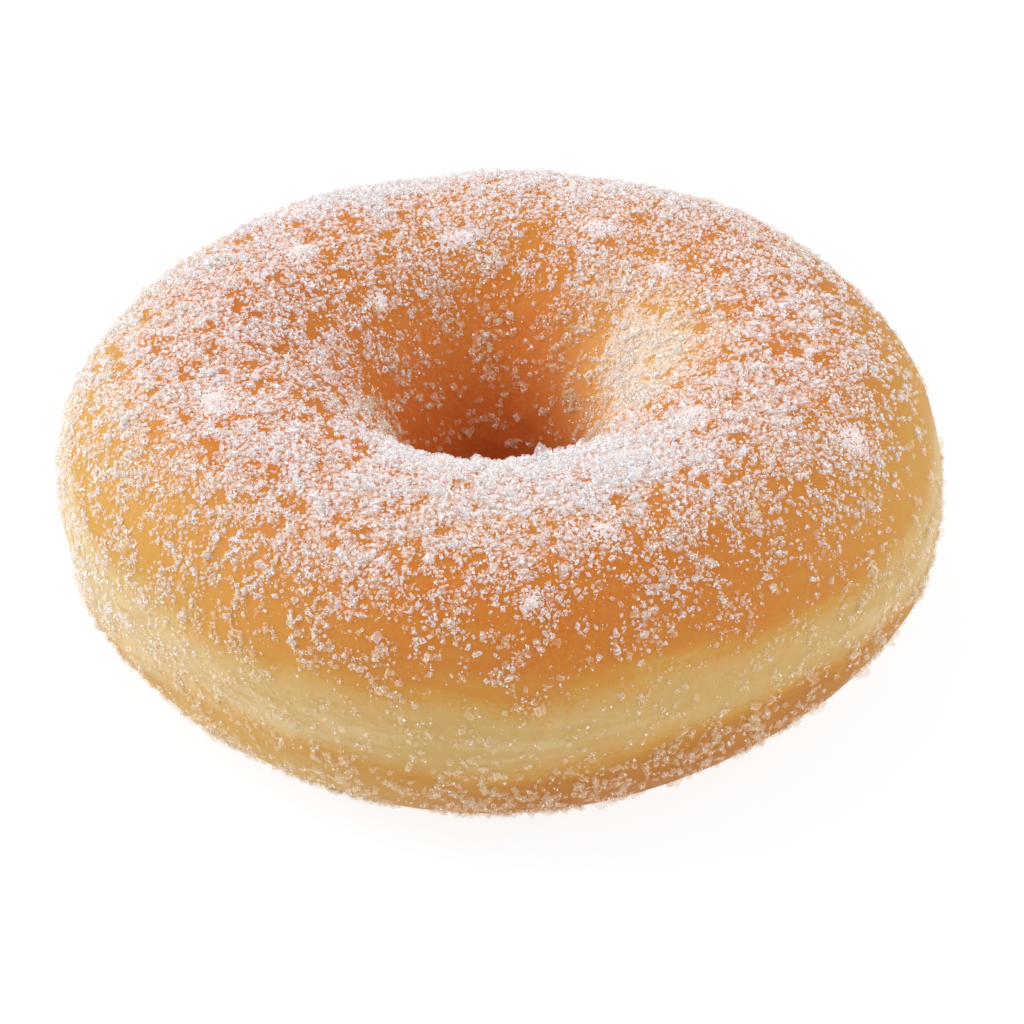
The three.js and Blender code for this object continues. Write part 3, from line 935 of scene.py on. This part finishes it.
def fine_dust(rng):
    """Specks of crushed sugar, lying thinly everywhere and a little thicker where the grains are thick."""
    turn, azimuth = sugar_places(DUST_CELL, rng)
    keep = rng.random(len(turn)) < DUST_SHARE * sugar_share(turn, azimuth)
    count = np.count_nonzero(keep)
    sizes = rng.uniform(*DUST_SIZE, count)
    return np.stack([turn[keep], azimuth[keep], sizes, np.zeros(count), np.full(count, SPLINTER_LEAN)])


def deal(kinds, grains, finishes, rng):
    """Grains dealt out at random to kinds of crystal, one piece for each kind. The first kind has no large
    grains."""
    shares = [share for *_, share in kinds]
    number = rng.choice(len(kinds), grains.shape[1], p=shares)
    number = np.where(grains[2] > LARGEST_WEDGE, np.maximum(number, 1), number)
    for index, (name, sides, flatness, _) in enumerate(kinds):
        crystal_piece(name, sides, flatness, grains[:, number == index], finishes, rng)


def sugar_grains():
    """All the grains, white, creamy and glassy, with caked crumbs, bright splinters and dust: the creamy ones
    are painted light, the glassy ones partly painted shade and the splinters partly painted highlights.
    """
    rng = np.random.default_rng(GRAIN_SEED)
    lying = np.concatenate([layer(*LYING_LAYER, sugar_share, rng), large_grains()], axis=1)
    heaped = layer(*HEAPED_LAYER, heaped_share, rng)
    shaded_glassy = layer(*SHADED_GLASSY_LAYER, shaded_glassy_share, rng)
    turn, azimuth = lying[:2]
    top = SHADED_GLASSY_TOP + patches(SHADED_GLASSY_TOP_CHANGES, turn, azimuth)
    deep = SHADED_GLASSY_HOLE + patches(SHADED_GLASSY_HOLE_CHANGES, turn, azimuth)
    # partly painted shade: grains low on the ring and deep in the hole take the dimmer glassy finishes
    low = (turn < rng.normal(top, SHADED_GLASSY_BLEND)) | (turn > rng.normal(deep, SHADED_GLASSY_BLEND))
    shaded_glassy = np.concatenate([shaded_glassy, lying[:, low]], axis=1)
    grains = np.concatenate([lying[:, ~low], heaped], axis=1)
    # painted light: some white grains become the lit creamy copy where the main light shines through
    creamy = rng.random(grains.shape[1]) < patches(LIT_CREAMY_PATCHES, grains[0], grains[1])
    print("white, creamy and glassy grains:", np.sum(~creamy), np.sum(creamy), shaded_glassy.shape[1])
    splinters = glints(np.concatenate([grains, shaded_glassy], axis=1), rng)
    deal(KINDS, grains[:, ~creamy], SUGAR_FINISHES, rng)
    deal(LIT_CREAMY_KINDS, grains[:, creamy], LIT_CREAMY_FINISHES, rng)
    deal(SHADED_GLASSY_KINDS, shaded_glassy, SHADED_GLASSY_FINISHES, rng)
    splinter_piece("sugar_crumbs", clump_crumbs(rng), CAKED_SUGAR, rng)
    splinter_piece("sugar_glints", splinters, GLINT_SUGAR, rng)
    splinter_piece("sugar_dust", fine_dust(rng), CAKED_SUGAR, rng)


sugar_grains()

# %% [markdown]
# ## Floor and light
# A pale floor that glows, as a light table does, except under the ring, and soft studio light. The key light
# is large and stands up to the left and a little behind, so it washes the left shoulder, reaches the right
# wall of the hole and leaves the front a little deeper.

# %% Studio
FLOOR_REACH = 3000.0
FOOTPRINT = 31.0
FLOOR_CORNERS = 48
FLOOR_GLOW = 0.88
FLOOR_WHITE, COVERED_WHITE = 0.15, 0.75
# name, azimuth, elevation, distance, side, power
SOFT_LIGHTS = [("key", -102, 35, 700, 500, 3.1), ("fill", 80, 32, 700, 600, 1.2)]
SKY_STRENGTH = 0.82


def floor_finish(name, white, glow):
    """Matt paper of a given white, 0 to 1, that can glow by itself."""
    recipe = Recipe(name)
    matt = recipe.node("ShaderNodeBsdfPrincipled", {}, {
        "Base Color": (white, white, white, 1), "Roughness": 1.0, "Specular IOR Level": 0.0,
        "Emission Color": (1, 1, 1, 1), "Emission Strength": glow})
    return recipe.surface(matt)


def studio_floor():
    """A wide pale disc for the ring to stand on. It glows all round the ring, but not where the ring covers
    it."""
    angle = np.arange(FLOOR_CORNERS) * 2 * np.pi / FLOOR_CORNERS
    circle = np.column_stack([np.cos(angle), np.sin(angle), np.zeros(FLOOR_CORNERS)])
    points = np.concatenate([circle * FOOTPRINT, circle * FLOOR_REACH])
    here = np.arange(FLOOR_CORNERS)
    after = (here + 1) % FLOOR_CORNERS
    faces = np.column_stack([here, here + FLOOR_CORNERS, after + FLOOR_CORNERS, after]).tolist()
    mesh = bpy.data.meshes.new("floor")
    mesh.from_pydata((points * MM).tolist(), [], faces + [here.tolist()])
    mesh.materials.append(floor_finish("pale_floor", FLOOR_WHITE, FLOOR_GLOW))
    mesh.materials.append(floor_finish("covered_floor", COVERED_WHITE, 0.0))
    mesh.polygons[-1].material_index = 1
    floor = bpy.data.objects.new("floor", mesh)
    bpy.context.scene.collection.objects.link(floor)


def soft_light(name, azimuth, elevation, distance, side, power):
    """A square area light that looks at the ring from an azimuth and elevation, in degrees."""
    turned, raised = np.radians([azimuth, elevation])
    away = Vector((np.sin(turned) * np.cos(raised), -np.cos(turned) * np.cos(raised), np.sin(raised)))
    lamp = bpy.data.lights.new(name, "AREA")
    lamp.size = side * MM
    lamp.energy = power
    light = bpy.data.objects.new(name, lamp)
    light.location = Vector((0, 0, AIM_HEIGHT * MM)) + away * distance * MM
    light.rotation_euler = away.to_track_quat("Z", "Y").to_euler()
    bpy.context.scene.collection.objects.link(light)


def studio_sky(strength):
    """Even white light from all round."""
    world = bpy.data.worlds.new("studio_sky")
    world.use_nodes = True
    world.node_tree.nodes["Background"].inputs["Color"].default_value = (1, 1, 1, 1)
    world.node_tree.nodes["Background"].inputs["Strength"].default_value = strength
    bpy.context.scene.world = world


studio_floor()
for row in SOFT_LIGHTS:
    soft_light(*row)
studio_sky(SKY_STRENGTH)
bpy.context.scene.view_settings.view_transform = "Standard"
print("lights:", list(bpy.data.lights.keys()))
